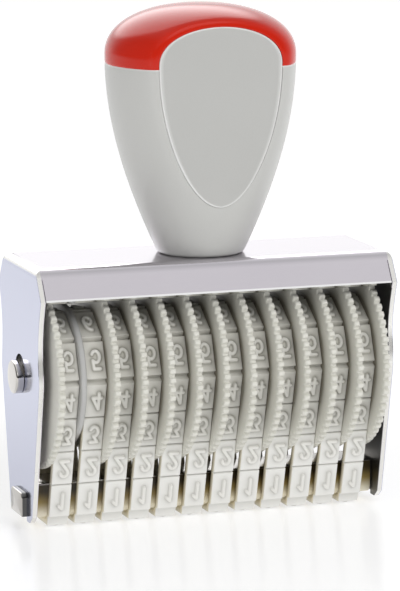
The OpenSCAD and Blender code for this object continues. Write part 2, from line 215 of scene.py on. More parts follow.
def painted_hem_highlight(x, y, z):
    """Painted highlight: 1 along the lower edges of the lips, between the side plates, painted near white."""
    between = 1.0 - ramp(abs(x), plate_inner - 0.2, plate_inner)
    return between * (1.0 - ramp(z, lip_low + 0.24, lip_low + 0.36))


# Painted light and shade on the sheet: a cold reflection on the side plates, highlights on the cut edges and lip
# hems, shade below the folds and on the inner faces.
nickel_sheet = bright_metal(
    "nickel_sheet", (0.68, 0.648, 0.69), (0.605, 0.575, 0.625), 0.08, (8.0, 1.0, 8.0),
    (painted_plate_reflection, (0.45, 0.49, 0.645), 0.0, 0.0),
    (painted_edge_highlight, (0.80, 0.79, 0.76), 0.15, 0.0),
    (painted_fold_shade, (0.30, 0.30, 0.31), 0.0, 0.0),
    (painted_hem_highlight, (0.95, 0.95, 0.95), 0.0, 0.0),
    (painted_inside_shade, (0.13, 0.128, 0.125), 0.2, 0.0))
sheet_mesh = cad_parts["frame"].data.copy()
sheet_work = bmesh.new()
sheet_work.from_mesh(sheet_mesh)
bmesh.ops.remove_doubles(sheet_work, verts=sheet_work.verts, dist=1e-6)
bmesh.ops.dissolve_limit(sheet_work, angle_limit=flat_angle, verts=sheet_work.verts, edges=sheet_work.edges)
sheet_work.to_mesh(sheet_mesh)
sheet_work.free()
folded_frame = seat("folded_frame", sheet_mesh, nickel_sheet, "stamp", "frame", "frame")
hem = folded_frame.modifiers.new("edge_round", "BEVEL")
hem.width = sheet_edge_round * millimetre
hem.segments = sheet_edge_steps
hem.limit_method = "ANGLE"
hem.angle_limit = sharp_angle
flats = folded_frame.modifiers.new("flat_faces", "WEIGHTED_NORMAL")
flats.mode = "FACE_AREA"
flats.weight = 100


# Wheel axle
# A turned and polished rod. A groove near each end drops into the keyhole seat of a side plate and holds it
# endways, and the two ends stand out past the plates with a small round edge.
axle_height, axle_radius, groove_radius, centre_mark = 26.75, 2.95, 2.45, 1.2
groove_edge, tip_round, turned_steps = 0.06, 0.3, 96
axle_tip = plate_outer + 1.5


def grid_quads(rows, columns, wrap_rows=False, wrap_columns=False):
    """Corner numbers of the quads of a grid of points, closed round on itself in the wrapped directions."""
    row = np.arange(rows if wrap_rows else rows - 1)[:, None]
    column = np.arange(columns if wrap_columns else columns - 1)[None, :]
    next_row, next_column = (row + 1) % rows, (column + 1) % columns
    corners = (row * columns + column, next_row * columns + column,
               next_row * columns + next_column, row * columns + next_column)
    return np.stack(corners, axis=-1).reshape(-1, 4)


def turned(along, radius):
    """A profile of places along X and radii, carried round the wheel axis in even steps."""
    angle = np.linspace(0.0, 2.0 * np.pi, turned_steps, endpoint=False)[None, :]
    along, radius = np.asarray(along)[:, None], np.asarray(radius)[:, None]
    height = axle_height + radius * np.sin(angle)
    return np.stack(np.broadcast_arrays(along, radius * np.cos(angle), height), axis=-1)


def put(name, points, quads, material, body, slot, *nodes, marks=None):
    """A mesh from points in millimetres and quads, doubled points merged and slivers taken out, riding on a body in
    place of its nodes. Marks are named values of the points that its material reads."""
    mesh = bpy.data.meshes.new(name)
    mesh.from_pydata((points.reshape(-1, 3) * millimetre).tolist(), [], quads.tolist())
    for mark, values in (marks or {}).items():
        mesh.attributes.new(mark, "FLOAT", "POINT").data.foreach_set("value", np.ravel(values))
    work = bmesh.new()
    work.from_mesh(mesh)
    bmesh.ops.remove_doubles(work, verts=work.verts, dist=2e-7)
    bmesh.ops.dissolve_degenerate(work, edges=work.edges, dist=1e-7)
    work.to_mesh(mesh)
    work.free()
    return seat(name, mesh, material, body, slot, *nodes)


turn = np.linspace(0.0, np.pi / 2, 6)
end_along = np.concatenate((
    plate_inner - groove_edge * np.array([2.0, 1.0, 1.0]), plate_outer + groove_edge * np.array([1.0, 1.0, 2.0]),
    axle_tip - tip_round + tip_round * np.sin(turn), [axle_tip, axle_tip]))
end_radius = np.concatenate((
    [axle_radius, axle_radius - groove_edge, groove_radius, groove_radius, axle_radius - groove_edge, axle_radius],
    axle_radius - tip_round + tip_round * np.cos(turn), [centre_mark, 0.0]))
axle_points = turned(np.concatenate((-end_along[::-1], end_along)),
                     np.concatenate((end_radius[::-1], end_radius)))
axle_steel = bright_metal("axle_steel", (0.62, 0.60, 0.57), (0.54, 0.52, 0.49), 0.08, (1.0, 6.0, 6.0))
put("wheel_axle_rod", axle_points, grid_quads(*axle_points.shape[:2], wrap_columns=True), axle_steel,
    "stamp", "axle", "wheel_axle")


# Axle spacers
# Two loose punched rings on the axle, one between each outer rim and the side plate beside it.
ring_place, ring_half, ring_bore, ring_rim, ring_edge = plate_inner - 0.75, 0.71, 3.01, 4.51, 0.08


def ring_points(centre, half, bore, rim, edge):
    """A flat ring about the axle: its section is a rectangle with cut corners, carried round the axis."""
    along = np.array([-1, -1, -1, -1, 1, 1, 1, 1]) * half
    along[[0, 3, 4, 7]] *= 1.0 - edge / half
    radius = np.array([bore, bore + edge, rim - edge, rim, rim, rim - edge, bore + edge, bore])
    return turned(centre + along, radius)


rings = np.stack([ring_points(centre, ring_half, ring_bore, ring_rim, ring_edge)
                  for centre in (-ring_place, ring_place)])
ring_quads = grid_quads(*rings.shape[1:3], True, True)
ring_size = rings.shape[1] * rings.shape[2]
zinc = bright_metal("plated_ring", (0.66, 0.67, 0.70), (0.55, 0.56, 0.60), 0.24, (1.0, 1.0, 1.0))
put("spacing_rings", rings, np.concatenate((ring_quads, ring_quads + ring_size)), zinc,
    "stamp", "spacer", "axle_spacers")


# Number wheels
# Moulded off-white plastic thumbwheels, free on the axle: a drum that carries the band, with a toothed rim on
# one side and a moulded recess in the other. The first wheel is turned round, so its rim faces the side plate.
band_places = -27.5 + 5.0 * np.arange(12)
drum_half, drum_radius, bore_radius = 1.91, 10.0, 3.01
rim_face = drum_half + 1.1
rim_radius, tooth_depth, tooth_count = 16.5, 0.7, 64
root_radius = rim_radius - tooth_depth
recess_floor, recess_out, recess_in = -drum_half + 2.2, 8.0, 4.7
crown_round, crown_bend, mould_edge, bore_edge, recess_round = 0.26, 0.08, 0.12, 0.1, 0.15


def wheel_points(centre, side):
    """The wheel's section as a closed loop of places and radii, carried round the axis. Points of the rim's crown,
    marked in the third column, follow the tooth: full radius on its land, the root between two teeth, a straight
    flank with round edges. The last column is painted shade: dark brown on the drum and at the foot of the rim
    beside it, in the deep gap beside the band."""
    phase = np.array([0.0, 0.11, 0.135, 0.17, 0.25, 0.285, 0.31, 0.69, 0.715, 0.75, 0.83, 0.865, 0.89])
    land = np.array([0.0, 0.0, 0.04, 0.2, 0.8, 0.96, 1.0, 1.0, 0.96, 0.8, 0.2, 0.04, 0.0])
    angle = ((np.arange(tooth_count)[:, None] + phase) * 2.0 * np.pi / tooth_count).ravel()
    tooth = np.tile(land, tooth_count) * tooth_depth
    face, drum, end, root = rim_face, drum_half, -drum_half, root_radius
    section = np.array([
        (end + bore_edge, bore_radius, 0, 0), (face - bore_edge, bore_radius, 0, 0),
        (face, bore_radius + bore_edge, 0, 0), (face, 7.0, 0, 0), (face, 11.0, 0, 0), (face, root - 0.5, 0, 0),
        (face, root - crown_round, 1, 0), (face - crown_bend, root - crown_bend, 1, 0),
        (face - crown_round, root, 1, 0), (drum + 0.55, root, 1, 0), (drum + crown_round, root, 1, 0),
        (drum + crown_bend, root - crown_bend, 1, 0), (drum, root - crown_round, 1, 0), (drum, root - 0.5, 0, 0),
        (drum, 14.2, 0, 0.08), (drum, 13.3, 0, 0.25), (drum, 12.7, 0, 0.55), (drum, 12.2, 0, 1),
        (drum, drum_radius + 0.2, 0, 1), (drum - 0.06, drum_radius + 0.06, 0, 1), (drum - 0.2, drum_radius, 0, 1),
        (end + mould_edge, drum_radius, 0, 1), (end + 0.03, drum_radius - 0.03, 0, 1),
        (end, drum_radius - mould_edge, 0, 1), (end, recess_out + mould_edge, 0, 0),
        (end + mould_edge, recess_out, 0, 0), (recess_floor - recess_round, recess_out, 0, 0),
        (recess_floor, recess_out - recess_round, 0, 0), (recess_floor, recess_in + recess_round, 0, 0),
        (recess_floor - recess_round, recess_in, 0, 0), (end + mould_edge, recess_in, 0, 0),
        (end, recess_in - mould_edge, 0, 0), (end, bore_radius + bore_edge, 0, 0),
    ])
    # The last column is painted shade for the gap between the band and the rim.
    place, base, crown, gap_shade = section.T[:, :, None]
    radius = base + crown * tooth
    along = np.broadcast_to(centre + side * place, radius.shape)
    height = axle_height + radius * np.sin(angle)
    points = np.stack((along, side * radius * np.cos(angle), height), axis=-1)
    return points, {"gap_shade": np.broadcast_to(gap_shade, radius.shape)}


def marked(tone, name):
    """A mesh's own mark, by its name: 0 where the mesh has none."""
    return tone.node("ShaderNodeAttribute", {"attribute_name": name}, output="Fac")


def moulded_wheel_plastic(name, light, dark):
    """Off-white moulded plastic: yellowed in soft patches, with fine flow lines, and painted dark brown with shade
    where it is marked.
    """
    material, tone, place, shader = new_finish(name)
    patch = grain(tone, place, 6.0, 3.0)
    speck = grain(tone, place, 0.35, 2.0)
    clean = blend_colour(patch * 0.7 + speck * 0.3, light, dark)
    # Painted shade: dark brown where the mesh marks the gap beside the band.
    tint = blend_colour(marked(tone, "gap_shade") * (0.75 + patch * 0.25), clean, (0.17, 0.15, 0.11))
    feed(shader, tone, tint, 0.30 + patch * 0.12 + speck * 0.1, speck, 0.12, 0.03)
    return material


wheel_plastic = moulded_wheel_plastic("wheel_plastic", (0.73, 0.725, 0.67), (0.63, 0.62, 0.555))
for number, centre in enumerate(band_places, 1):
    wheel, wheel_marks = wheel_points(centre, -1.0 if number == 1 else 1.0)
    put(f"thumbwheel_{number:02d}", wheel, grid_quads(*wheel.shape[:2], True, True), wheel_plastic,
        f"wheel_{number:02d}", "wheel", f"number_wheel_{number:02d}", marks=wheel_marks)


# Guide disc
# A plain moulded disc on the axle. The turned first wheel leaves no rim between the first two bands, and the
# disc keeps them apart there.
disc_place, disc_half, disc_rim, disc_edge = band_places[:2].mean(), 0.55, 12.6, 0.2
disc = ring_points(disc_place, disc_half, bore_radius, disc_rim, disc_edge)
disc_plastic = moulded_wheel_plastic("disc_plastic", (0.53, 0.53, 0.525), (0.47, 0.47, 0.46))
put("plain_guide_disc", disc, ring_quads, disc_plastic, "stamp", "wheel", "guide_disc")


# Printing bar
# A bright steel bar with rounded lower edges that the bands slide over. A narrower tongue at each end sits in
# the open notch of a side plate and stands a little past it. Its middle between the bands is painted with shade,
# near black above and brown lower down, with painted light in cream at the foot.
bar_bottom, bar_top, bar_half, bar_low_round, bar_high_round = 1.85, 8.1, 3.95, 1.35, 0.3
tongue_low, tongue_top, tongue_half, tongue_low_round, tongue_high_round = 2.2, 6.5, 3.45, 0.25, 1.0
bar_end, tongue_tip = plate_inner - 0.1, plate_outer + 0.9
end_edge, end_bend = 0.2, 0.06


def rounded_section(along, half, low, high, low_round, high_round, inset):
    """A ring of points at a place along X: a rectangle with four quarter-circle corners, drawn in by an inset."""
    corner = np.linspace(0.0, np.pi / 2, 7)
    parts = []
    for side, level, start, size in ((1, low, -np.pi / 2, low_round), (1, high, 0.0, high_round),
                                     (-1, high, np.pi / 2, high_round), (-1, low, np.pi, low_round)):
        middle = np.array((side * (half - size), level + size if level == low else level - size))
        reach = max(size - inset, 0.001)
        shift = np.array((side, -1 if level == low else 1)) * min(size - inset, 0.0)
        angle = start + corner
        parts.append(middle + shift + reach * np.stack((np.cos(angle), np.sin(angle)), axis=-1))
    flat = np.concatenate(parts)
    return np.column_stack((np.full(len(flat), along), flat))


tongue = (tongue_half, tongue_low, tongue_top, tongue_low_round, tongue_high_round)
bar = (bar_half, bar_bottom, bar_top, bar_low_round, bar_high_round)
half_rings = [(tongue_tip, tongue, end_edge), (tongue_tip - end_bend, tongue, end_bend),
              (tongue_tip - end_edge, tongue, 0.0), (bar_end + 0.01, tongue, 0.0),
              (bar_end, bar, end_edge), (bar_end - end_edge, bar, 0.0)]
bar_rings = [rounded_section(-along, *shape, inset) for along, shape, inset in half_rings]
bar_rings += [rounded_section(along, *shape, inset) for along, shape, inset in reversed(half_rings)]
end_middles = [np.broadcast_to(ring.mean(axis=0), ring.shape) for ring in (bar_rings[0], bar_rings[-1])]
bar_points = np.stack([end_middles[0], *bar_rings, end_middles[1]])


def painted_bar_shade(x, y, z):
    """Painted shade: 1 on the middle of the bar, painted near black and less metallic, 0 on its upper edges and on
    the ends past the plates.
    """
    within = 1.0 - ramp(abs(x), plate_inner - 0.3, plate_inner - 0.1)
    return within * (1.0 - ramp(z, bar_top - 0.4, bar_top - 0.2))


def painted_brown_shade(x, y, z):
    """Painted shade that lightens down the front: the near black stays on the upper part, and from the middle down
    it is painted brown.
    """
    return painted_bar_shade(x, y, z) * (1.0 - ramp(z, 4.2, 6.8))


def painted_foot_light(x, y, z):
    """Painted light: the lower edges, round which the bands slide, are painted cream for the light from the floor.
    """
    return painted_bar_shade(x, y, z) * (1.0 - ramp(z, 2.4, 4.9))


def painted_notch_shade(x, y, z):
    """Painted shade: 1 on the sides of the end tongues, painted near black in the notches, 0 on their ground end
    faces.
    """
    short_of_tip = 1.0 - ramp(abs(x), tongue_tip - 0.22, tongue_tip - 0.1)
    return short_of_tip * ramp(abs(x), plate_inner - 0.1, plate_inner)


# Painted light and shade on the bar: near black and brown shade on its middle, cream light at its foot, near black
# shade on the tongue sides.
bar_steel = bright_metal(
    "bar_steel", (0.58, 0.56, 0.53), (0.46, 0.44, 0.41), 0.12, (10.0, 1.0, 1.0),
    (painted_bar_shade, (0.05, 0.036, 0.014), 0.2, 1.0),
    (painted_brown_shade, (0.33, 0.24, 0.075), 0.0, 0.0),
    (painted_foot_light, (0.86, 0.80, 0.64), 0.2, 0.0),
    (painted_notch_shade, (0.10, 0.10, 0.10), 0.0, 0.0))
bar_quads = grid_quads(*bar_points.shape[:2], wrap_columns=True)[:, ::-1]
put("printing_bar_rail", bar_points, bar_quads, bar_steel, "stamp", "bar", "printing_bar")


# Number bands
# Twelve endless moulded rubber bands. Each carries fourteen flat blocks with raised figures: 0 on the printing
# face, 1 to 6 up the front, 7 on top, 8 and 9 behind, then a point, a dash, a stroke and a bare block.
band_half, web, block, type_height = 1.85, 0.8, 0.55, 0.45
blocks, block_gap, block_lead, drum_stretch = 14, 0.3, 0.8, 0.07
block_edge, block_bend = 0.12, 0.035
loop_radius, edge_radius, edge_offset = drum_radius + 0.06, 1.4, 2.6
edge_height = bar_bottom + bar_low_round
fall = axle_height - edge_height
span = np.hypot(fall, edge_offset)
lean = np.arcsin((loop_radius - edge_radius) / span) - np.arctan(edge_offset / fall)
run = np.sqrt(span ** 2 - (loop_radius - edge_radius) ** 2)
edge_arc = edge_radius * (np.pi / 2 - lean)
drum_arc = loop_radius * (np.pi / 2 + lean)
half_loop = edge_offset + edge_arc + run + drum_arc
block_step = 2.0 * half_loop / blocks
block_half = (block_step - block_gap) / 2.0


def loop_frame(length):
    """Place, outward direction and running direction on the band's inside line at a length along it. The line
    starts under the bar, rounds its front edge, climbs straight to the drum, and comes back the same way behind."""
    around = np.mod(np.asarray(length, dtype=float), 2.0 * half_loop)
    behind = around > half_loop
    s = np.where(behind, 2.0 * half_loop - around, around)
    on_edge, on_run = s - edge_offset, s - edge_offset - edge_arc
    on_drum = on_run - run
    edge_turn = -np.pi / 2 + np.clip(on_edge / edge_arc, 0.0, 1.0) * (np.pi / 2 - lean)
    drum_turn = -lean + np.clip(on_drum / drum_arc, 0.0, 1.0) * (np.pi / 2 + lean)
    angle = np.where(on_drum > 0, drum_turn, edge_turn)
    climb = np.clip(on_run, 0.0, run)
    depth = np.minimum(s, edge_offset) + edge_radius * np.cos(edge_turn) + climb * np.sin(lean)
    height = edge_height + edge_radius * np.sin(edge_turn) + climb * np.cos(lean)
    depth = np.where(on_drum > 0, loop_radius * np.cos(drum_turn), depth)
    height = np.where(on_drum > 0, axle_height + loop_radius * np.sin(drum_turn), height)
    side = np.where(behind, 1.0, -1.0)
    place = np.stack((side * depth, height), axis=-1)
    outward = np.stack((side * np.cos(angle), np.sin(angle)), axis=-1)
    onward = np.stack((np.sin(angle), -side * np.cos(angle)), axis=-1)
    return place, outward, onward


def oval(x, y, wide, high, start, stop, steps=20):
    """Points on an oval from one angle to another, in degrees."""
    angle = np.radians(np.linspace(start, stop, steps))
    return np.column_stack((x + wide * np.cos(angle), y + high * np.sin(angle)))


lower_bowl = oval(0.0, -0.66, 0.84, 0.94, 0, 360, 28)
six_tail = np.column_stack((-0.84 + 1.25 * np.linspace(0, 1, 12) ** 1.9,
                            -0.66 + 2.3 * np.sin(np.linspace(0, np.pi / 2, 12))))
figures = [
    [oval(0, 0, 0.84, 1.6, 0, 360, 36)],
    [np.array([(-0.62, 0.95), (0.12, 1.6), (0.12, -1.6)])],
    [np.vstack((oval(0, 0.78, 0.84, 0.82, 172, -32), [(-0.86, -1.6), (0.9, -1.6)]))],
    [np.vstack(([(-0.82, 1.6), (0.74, 1.6), (-0.12, 0.36)], oval(-0.04, -0.62, 0.88, 0.98, 84, -156)))],
    [np.array([(0.42, -1.6), (0.42, 1.6), (-0.95, -0.68), (0.98, -0.68)])],
    [np.vstack(([(0.8, 1.6), (-0.62, 1.6), (-0.74, 0.12)], oval(-0.04, -0.56, 0.9, 1.04, 138, -150)))],
    [lower_bowl, six_tail],
    [np.array([(-0.86, 1.6), (0.86, 1.6), (-0.24, -1.6)])],
    [oval(0, 0.8, 0.7, 0.8, 0, 360, 28), oval(0, -0.78, 0.86, 0.82, 0, 360, 28)],
    [-lower_bowl, -six_tail],
    [np.array([(-0.04, -1.42), (0.04, -1.42)])],
    [np.array([(-0.7, 0.0), (0.7, 0.0)])],
    [np.array([(-0.72, -1.6), (0.72, 1.6)])],
    [],
]
figure_size, figure_shift = (0.80, 0.92), 0.18
stroke_half, stroke_draft, shade_reach, web_shade = 0.21, 0.14, 0.32, 0.35


def figure_relief(strokes, across, up):
    """Height of a raised figure from 0 to 1, full within half a stroke of its line and falling off over the draft,
    and painted shade in the corner at its foot that fades with the distance."""
    nearest = np.full(np.broadcast(across, up).shape, 9.0)
    for stroke in strokes:
        line = stroke * figure_size
        for (ax, ay), (bx, by) in zip(line[:-1], line[1:]):
            length = max((bx - ax) ** 2 + (by - ay) ** 2, 1e-9)
            share = np.clip(((across - ax) * (bx - ax) + (up - ay) * (by - ay)) / length, 0.0, 1.0)
            gap = np.hypot(across - ax - share * (bx - ax), up - ay - share * (by - ay))
            nearest = np.minimum(nearest, gap)
    outside = nearest - stroke_half - stroke_draft
    slope = np.clip(-outside / stroke_draft, 0.0, 1.0)
    relief = slope * slope * (3.0 - 2.0 * slope)
    return relief, np.exp(-np.maximum(outside, 0.0) / shade_reach) * (1.0 - relief)


def edged(half, steps):
    """Places across a block from edge to edge and how far the face lies under its level there: a small round
    edge."""
    inner = np.linspace(-half + block_edge, half - block_edge, steps)
    places = np.concatenate(([-half, -half + block_bend], inner, [half - block_bend, half]))
    drop = np.zeros(len(places))
    drop[[0, -1]], drop[[1, -2]] = block_edge, block_bend
    return places, drop


def band_surface():
    """One band as a closed tube of points about x = 0. Each row runs round the band's section: two points on the
    inside line, two on the walls, and the block's face between them, flat in the block's own frame and raised by
    its figure. A row at the web's level on either side of each block makes the gap between two blocks."""
    across, across_drop = edged(band_half, 32)
    running, running_drop = edged(block_half, 50)
    rows, reliefs, foot_shades, walls = [], [], [], []
    for number in range(blocks):
        middle = number * block_step + block_lead
        place, outward, onward = loop_frame(middle)
        relief, foot_shade = figure_relief(figures[number], across[None, :] - figure_shift, -running[:, None])
        level = web + block - np.maximum(across_drop[None, :], running_drop[:, None]) + type_height * relief
        on_drum = abs(middle - half_loop) < drum_arc
        stretch = 1.0 + drum_stretch * on_drum
        flat = place + stretch * running[:, None, None] * onward + level[:, :, None] * outward
        lengths = middle + np.concatenate(([-block_half], running, [block_half]))
        inside, out, _ = loop_frame(lengths)
        foot = inside + web * out
        start, stop = (np.repeat(row[:, None], len(across), 1) for row in (foot[:1], foot[-1:]))
        face = np.concatenate((start, flat, stop))
        wall_low = 0.55 * inside[:, None] + 0.45 * face[:, [0, -1]]
        rows.append(np.concatenate((inside[:, None], wall_low[:, :1], face, wall_low[:, 1:], inside[:, None]),
                                   axis=1))
        # Marks per row: the relief; painted shade round the figure, also on the web between blocks; and the walls.
        for shown, kept, foot_mark, side_mark in (
                (relief, reliefs, 0.0, 0.0), (foot_shade, foot_shades, web_shade, web_shade),
                (across_drop[None, :] / (2.0 * block_edge), walls, 0.0, 1.0)):
            row = np.full((len(lengths), len(across) + 4), side_mark)
            row[:, 2:-2] = foot_mark
            row[1:-1, 2:-2] = shown
            kept.append(row)
    depth_height = np.concatenate(rows)
    sides = np.concatenate(([-band_half, -band_half], across, [band_half, band_half]))
    sides = np.broadcast_to(sides[None, :, None], depth_height.shape[:2] + (1,))
    marks = {"relief": np.concatenate(reliefs), "foot_shade": np.concatenate(foot_shades), "wall": np.concatenate(walls)}
    return np.concatenate((sides, depth_height), axis=-1), marks


def moulded_rubber():
    """Pale rubber: chalky and uneven in tone, with painted light that makes it lighter toward the foot, painted
    shade in the corners round the figures and between the blocks, painted warm light and shade in cream on the
    walls of the blocks, lighter and smooth on the type."""
    material, tone, place, shader = new_finish("band_rubber")
    raised, foot_shade, wall = (marked(tone, name) for name in ("relief", "foot_shade", "wall"))
    patch = grain(tone, place, 3.0, 3.0)
    speck = grain(tone, place, 0.18, 2.0)
    _, _, height = in_millimetres(tone, place)
    worn = blend_colour(patch * 0.7 + speck * 0.3, (0.74, 0.73, 0.68), (0.64, 0.625, 0.57))
    # Painted light: the rubber is lighter toward the foot, for the light the floor throws on the low blocks.
    ground = blend_colour(ramp(height, 9.0, 36.0), (0.775, 0.77, 0.74), worn)
    # Painted shade round the figures and between the blocks, weaker toward the foot.
    painted_shading = foot_shade * (0.2 + patch * 0.35 + 0.45 * ramp(height, 9.0, 22.0))
    shaded_ground = blend_colour(painted_shading, ground, (0.26, 0.25, 0.21))
    # Painted light and shade: the walls of the blocks in warm cream, for the glow and shade in the gaps.
    shaded_ground = blend_colour(wall * (0.55 + patch * 0.4), shaded_ground, (0.74, 0.665, 0.47))
    feed(shader, tone, blend_colour(raised * 0.85, shaded_ground, (0.77, 0.76, 0.72)),
         0.62 + speck * 0.2 - raised * 0.12, speck + patch * 0.5, 0.2, 0.03)
    shader.inputs["Specular IOR Level"].default_value = 0.35
    return material


band_rubber = moulded_rubber()
band_shape, band_marks = band_surface()
band_quads = grid_quads(*band_shape.shape[:2], True, True)[:, ::-1]
for number, centre in enumerate(band_places, 1):
    put(f"rubber_band_{number:02d}", band_shape + (centre, 0.0, 0.0), band_quads, band_rubber,
        "stamp", "band", f"number_band_{number:02d}", marks=band_marks)


# Handle body and cap
# Two moulded shells meet in a fine joint: a grey satin body and a glossy red cap. Together they make an egg on
# a slim neck, cut flat in front and behind, and a pocket in each flat face holds a panel.
handle_shift = 0.5
neck_radius, belly_radius, belly_level, handle_top, split_level = 7.6, 16.9, 35.2, 44.25, 33.75
flank_power, dome_power, face_offset = 0.94, 2.2, 11.4
crease_round, foot_round = 0.55, 0.45
joint_depth, joint_width, joint_highlight_reach = 0.009, 0.11, 0.34
panel_share, panel_sink, panel_thick, pocket_gap, pocket_edge = 0.9, 0.12, 1.0, 0.1, 0.05
flank_share = np.arcsin((face_offset - neck_radius) / (belly_radius - neck_radius)) * 2 / np.pi
face_low = belly_level * flank_share ** (1 / flank_power)
dome_share = (1 - (face_offset / belly_radius) ** dome_power) ** (1 / dome_power)
face_high = belly_level + (handle_top - belly_level) * dome_share
panel_foot, panel_top = face_low + 0.7, face_high - 1.4


def egg_radius(level):
    """Radius over the axis: a round foot, a quarter sine wave of a power of the height up to the widest place,
    then a superellipse."""
    foot = foot_round * (1.0 - np.sqrt(1.0 - np.clip(1.0 - level / foot_round, 0.0, 1.0) ** 2))
    rise = np.clip(level / belly_level, 0.0, 1.0) ** flank_power
    dome = np.clip((level - belly_level) / (handle_top - belly_level), 0.0, 1.0) ** dome_power
    flank = neck_radius + (belly_radius - neck_radius) * np.sin(np.pi / 2 * rise) - foot
    return np.where(level < belly_level, flank, belly_radius * (1.0 - dome) ** (1.0 / dome_power))


def panel_half(level):
    """Half the panel's width at a level: a share of the flat face's half width, its border taken off above and
    below."""
    share = np.clip((level - panel_foot) / (panel_top - panel_foot), 0.0, 1.0)
    radius = egg_radius(face_low + (face_high - face_low) * share)
    return panel_share * np.sqrt(np.clip(radius ** 2 - face_offset ** 2, 0.0, None))


def eased(start, stop, steps, near_start, near_stop):
    """Levels from start to stop, closer together at an end that is asked for."""
    t = np.linspace(0.0, 1.0, steps)
    if near_start and near_stop:
        t = (1.0 - np.cos(np.pi * t)) / 2.0
    elif near_start:
        t = 1.0 - np.cos(np.pi / 2 * t)
    elif near_stop:
        t = np.sin(np.pi / 2 * t)
    return start + (stop - start) * t


def joint_draw(level):
    """Share by which the shell is drawn in at the joint of body and cap, so that a fine groove runs round it."""
    return 1.0 - joint_depth * np.exp(-np.abs(level - split_level) / joint_width)


def soft_corner(depth):
    """The smaller of a depth and the flat face's, with a round where they meet: the lower branch of a hyperbola."""
    return (depth + face_offset - np.sqrt((depth - face_offset) ** 2 + 4.0 * crease_round ** 2)) / 2.0


def handle_shell(levels, face_levels, pocket_levels):
    """The turned flanks of both sides, from one flat face to the other, and the borders of the flat faces between
    the crease and the pocket. Near the crease both are lowered by the same soft corner, so that they meet in a
    round."""
    radius = egg_radius(levels)
    crease = np.arcsin(np.clip(face_offset / np.maximum(radius, 1e-9), 0.0, 1.0))
    spread = np.sin(np.linspace(-np.pi / 2, np.pi / 2, 73))
    angle = crease[:, None] * spread[None, :]
    depth = soft_corner(radius[:, None] * np.abs(np.sin(angle))) - soft_corner(0.0)
    flank = np.stack(np.broadcast_arrays(radius[:, None] * np.cos(angle), np.sign(spread) * depth,
                                         levels[:, None]), axis=-1)
    face_radius = egg_radius(face_levels)
    half = np.sqrt(np.clip(face_radius ** 2 - face_offset ** 2, 0.0, None))
    pocket = panel_half(pocket_levels) + pocket_gap * (panel_half(pocket_levels) > 0)
    share = np.array([0.0, 0.03, 0.07, 0.13, 0.22, 0.36, 0.6, 0.85, 1.0, 1.0, 1.0])
    sunk = np.zeros(len(share))
    sunk[-2:] = pocket_edge, panel_sink + panel_thick
    border_x = half[:, None] + (pocket - half)[:, None] * share
    border_z = face_levels[:, None] + (pocket_levels - face_levels)[:, None] * share
    full = np.sqrt(np.clip(egg_radius(border_z) ** 2 - border_x ** 2, 0.0, None))
    border = np.stack((border_x, sunk - soft_corner(full) + soft_corner(0.0), border_z), axis=-1)
    sheets = [(flank, False), (flank * (-1, 1, 1), True), (border, True), (border * (-1, 1, 1), False),
              (border * (1, -1, 1), False), (border * (-1, -1, 1), True)]
    points, quads, count = [], [], 0
    for surface, turned_over in sheets:
        level = surface[..., 2:]
        placed = np.concatenate((surface[..., :2] * joint_draw(level), level), axis=-1)
        points.append((placed + (handle_shift, 0.0, top_level)).reshape(-1, 3))
        cells = grid_quads(*surface.shape[:2]) + count
        quads.append(cells if turned_over else cells[:, ::-1])
        count += len(points[-1])
    return np.concatenate(points), np.concatenate(quads)


near_joint, joint_reach = np.array([0.6, 0.4, 0.28, 0.18, 0.1, 0.05, 0.0]), 0.8
body_face, body_pocket = (
    np.concatenate((eased(low, split_level - joint_reach, 56, True, False), split_level - near_joint))
    for low in (face_low, panel_foot))
cap_face, cap_pocket = (
    np.concatenate((split_level + near_joint[::-1], eased(split_level + joint_reach, high, 44, False, True)))
    for high in (face_high, panel_top))
foot_levels = [0.0, 0.02, 0.07, 0.15, 0.27]
body_levels = np.concatenate((foot_levels, np.linspace(foot_round, face_low, 24)[:-1], body_face))
cap_levels = np.concatenate((cap_face, eased(face_high, handle_top, 18, False, True)[1:]))


def satin_plastic(name, light, dark):
    """Grey moulded plastic with a fine spark-eroded grain: the tone drifts a little and the grain breaks the
    gloss. A rim, where the mesh marks one, gets a painted highlight in pale grey."""
    material, tone, place, shader = new_finish(name)
    drift = grain(tone, place, 18.0, 2.0)
    pits = grain(tone, place, 0.22, 2.0)
    plain = blend_colour(drift * 0.6 + pits * 0.4, light, dark)
    # Painted highlight: pale grey where the mesh marks a rim.
    tint = blend_colour(marked(tone, "rim"), plain, (0.80, 0.80, 0.79))
    feed(shader, tone, tint, 0.24 + pits * 0.12, pits, 0.15, 0.02)
    return material


def glossy_plastic(name, light, dark):
    """Gloss plastic: a deep even tone with slight flow clouds, and hair-fine rub marks that show in the gloss."""
    material, tone, place, shader = new_finish(name)
    flow = grain(tone, place, 12.0, 2.0)
    rub = grain(tone, place, 0.3, 3.0, (12.0, 12.0, 1.0))
    tint = blend_colour(flow * 0.7 + rub * 0.2, light, dark)
    feed(shader, tone, tint, 0.08 + flow * 0.04 + rub * 0.06, rub, 0.04, 0.01)
    shader.inputs["Specular IOR Level"].default_value = 0.22
    return material


grey_satin = satin_plastic("handle_satin", (0.515, 0.515, 0.495), (0.445, 0.445, 0.43))
body_points, body_quads = handle_shell(body_levels, body_face, body_pocket)
# Painted highlight along the body's top edge at the joint with the cap.
joint_highlight = np.clip(1.0 - (top_level + split_level - body_points[:, 2]) / joint_highlight_reach, 0.0, 1.0) * 0.75
put("handle_grip", body_points, body_quads, grey_satin, "stamp", "handle", "handle_body", marks={"rim": joint_highlight})
red_gloss = glossy_plastic("cap_gloss", (0.545, 0.018, 0.006), (0.465, 0.014, 0.005))
cap_points, cap_quads = handle_shell(cap_levels, cap_face, cap_pocket)
put("handle_red_cap", cap_points, cap_quads, red_gloss, "stamp", "cap", "handle_cap")


